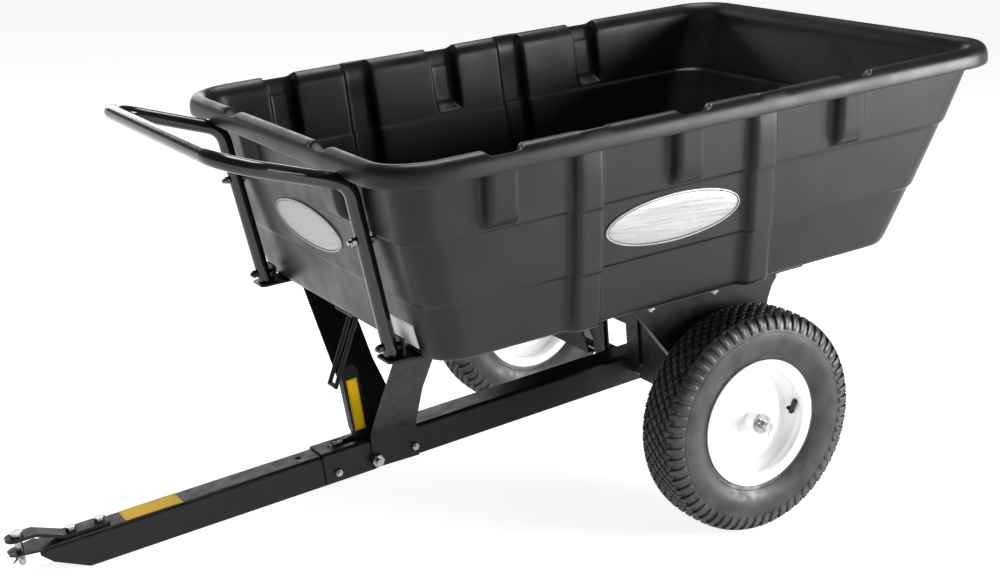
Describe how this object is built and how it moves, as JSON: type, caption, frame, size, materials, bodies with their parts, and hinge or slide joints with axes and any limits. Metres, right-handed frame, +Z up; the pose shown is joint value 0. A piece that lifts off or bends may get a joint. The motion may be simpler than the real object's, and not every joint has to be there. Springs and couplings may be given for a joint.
{
  "type": "garden dump cart",
  "caption": "Tow-behind garden dump cart: moulded tub that tilts on the axle, push handle, latch lever, hitch tongue and pneumatic wheels.",
  "frame": {"origin": "centre of the bounding box in plan, on the ground under the wheels", "axes": "+X from the hitch towards the rear of the cart, +Y to the cart's right as seen from the hitch side, +Z up; the cart stands parked on its wheels and the front corner of its tongue"},
  "size_m": [1.7104, 0.904, 0.8527],
  "materials": {
    "tub_poly": "satin moulded, fine grain",
    "frame_black": "satin powder coat",
    "handle_black": "gloss powder coat",
    "wheel_white": "gloss",
    "zinc": "bright zinc",
    "axle_steel": "drawn bar",
    "bearing": "satin nylon",
    "tyre_rubber": "matte",
    "rubber": "matte",
    "badge_silver": "satin silver",
    "label_yellow": "printed film",
    "label_white": "printed film"
  },
  "bodies": {
    "chassis": {"rear_tongue": "frame_black", "front_tongue": "frame_black", "hitch_strap": "frame_black", "hitch_strap_bolts": "zinc", "support_leg_left": "frame_black", "support_leg_right": "frame_black", "pivot_bolt": "zinc", "leg_bolts": "zinc", "tongue_bolts": "zinc", "axle": "axle_steel", "axle_washers": "zinc", "cotter_pins": "zinc", "tongue_label": "label_yellow", "latch_spring": "zinc"},
    "tub_body": {"tub": "tub_poly", "handle": "handle_black", "handle_bracket_left": "frame_black", "handle_bracket_right": "frame_black", "handle_foot_bolts": "handle_black", "handle_wall_bolts": "zinc", "side_bracket_left": "frame_black", "side_bracket_right": "frame_black", "side_bracket_bolts": "zinc", "axle_brace_left": "frame_black", "axle_brace_right": "frame_black", "cross_panel": "frame_black", "center_strut_left": "frame_black", "center_strut_right": "frame_black", "center_strut_bolts": "zinc", "latch_striker": "frame_black", "striker_bolts": "zinc", "badge_left": "badge_silver", "badge_right": "badge_silver", "badge_front": "badge_silver", "tub_label": "label_white"},
    "latch": {"latch_lever": "frame_black", "lever_label": "label_yellow"},
    "hitch_pin": {"hitch_pin": "zinc"},
    "hairpin_clip": {"hairpin_clip": "zinc"},
    "wheel_left": {"tyre_left": "tyre_rubber", "inner_tube_left": "rubber", "rim_outer_left": "wheel_white", "rim_inner_left": "wheel_white", "hub_left": "wheel_white", "hub_bushings_left": "bearing", "valve_stem_left": "rubber", "valve_cap_left": "rubber"},
    "wheel_right": {"tyre_right": "tyre_rubber", "inner_tube_right": "rubber", "rim_outer_right": "wheel_white", "rim_inner_right": "wheel_white", "hub_right": "wheel_white", "hub_bushings_right": "bearing", "valve_stem_right": "rubber", "valve_cap_right": "rubber"}
  },
  "joints": [
    {"name": "tub_tilt", "type": "hinge", "parent": "chassis", "child": "tub_body", "pos_m": [0.3473, 0, 0.203], "axis": [0, 1, 0], "range_deg": [0, 55]},
    {"name": "latch_swing", "type": "hinge", "parent": "chassis", "child": "latch", "pos_m": [-0.20635, 0, 0.09925], "axis": [0, 1, 0], "range_deg": [0, 16], "stiffness_Nm_per_rad": 1.5, "springref_deg": -20.05},
    {"name": "wheel_left_spin", "type": "hinge", "parent": "chassis", "child": "wheel_left", "pos_m": [0.3473, -0.388, 0.203], "axis": [0, 1, 0], "continuous": true},
    {"name": "wheel_right_spin", "type": "hinge", "parent": "chassis", "child": "wheel_right", "pos_m": [0.3473, 0.388, 0.203], "axis": [0, 1, 0], "continuous": true},
    {"name": "hitch_pin_lift", "type": "slide", "parent": "chassis", "child": "hitch_pin", "axis": [-0.1486, 0, 0.9889], "range_m": [0, 0.006]},
    {"name": "hairpin_pull", "type": "slide", "parent": "hitch_pin", "child": "hairpin_clip", "axis": [0, 1, 0], "range_m": [0, 0.045]}
  ]
}
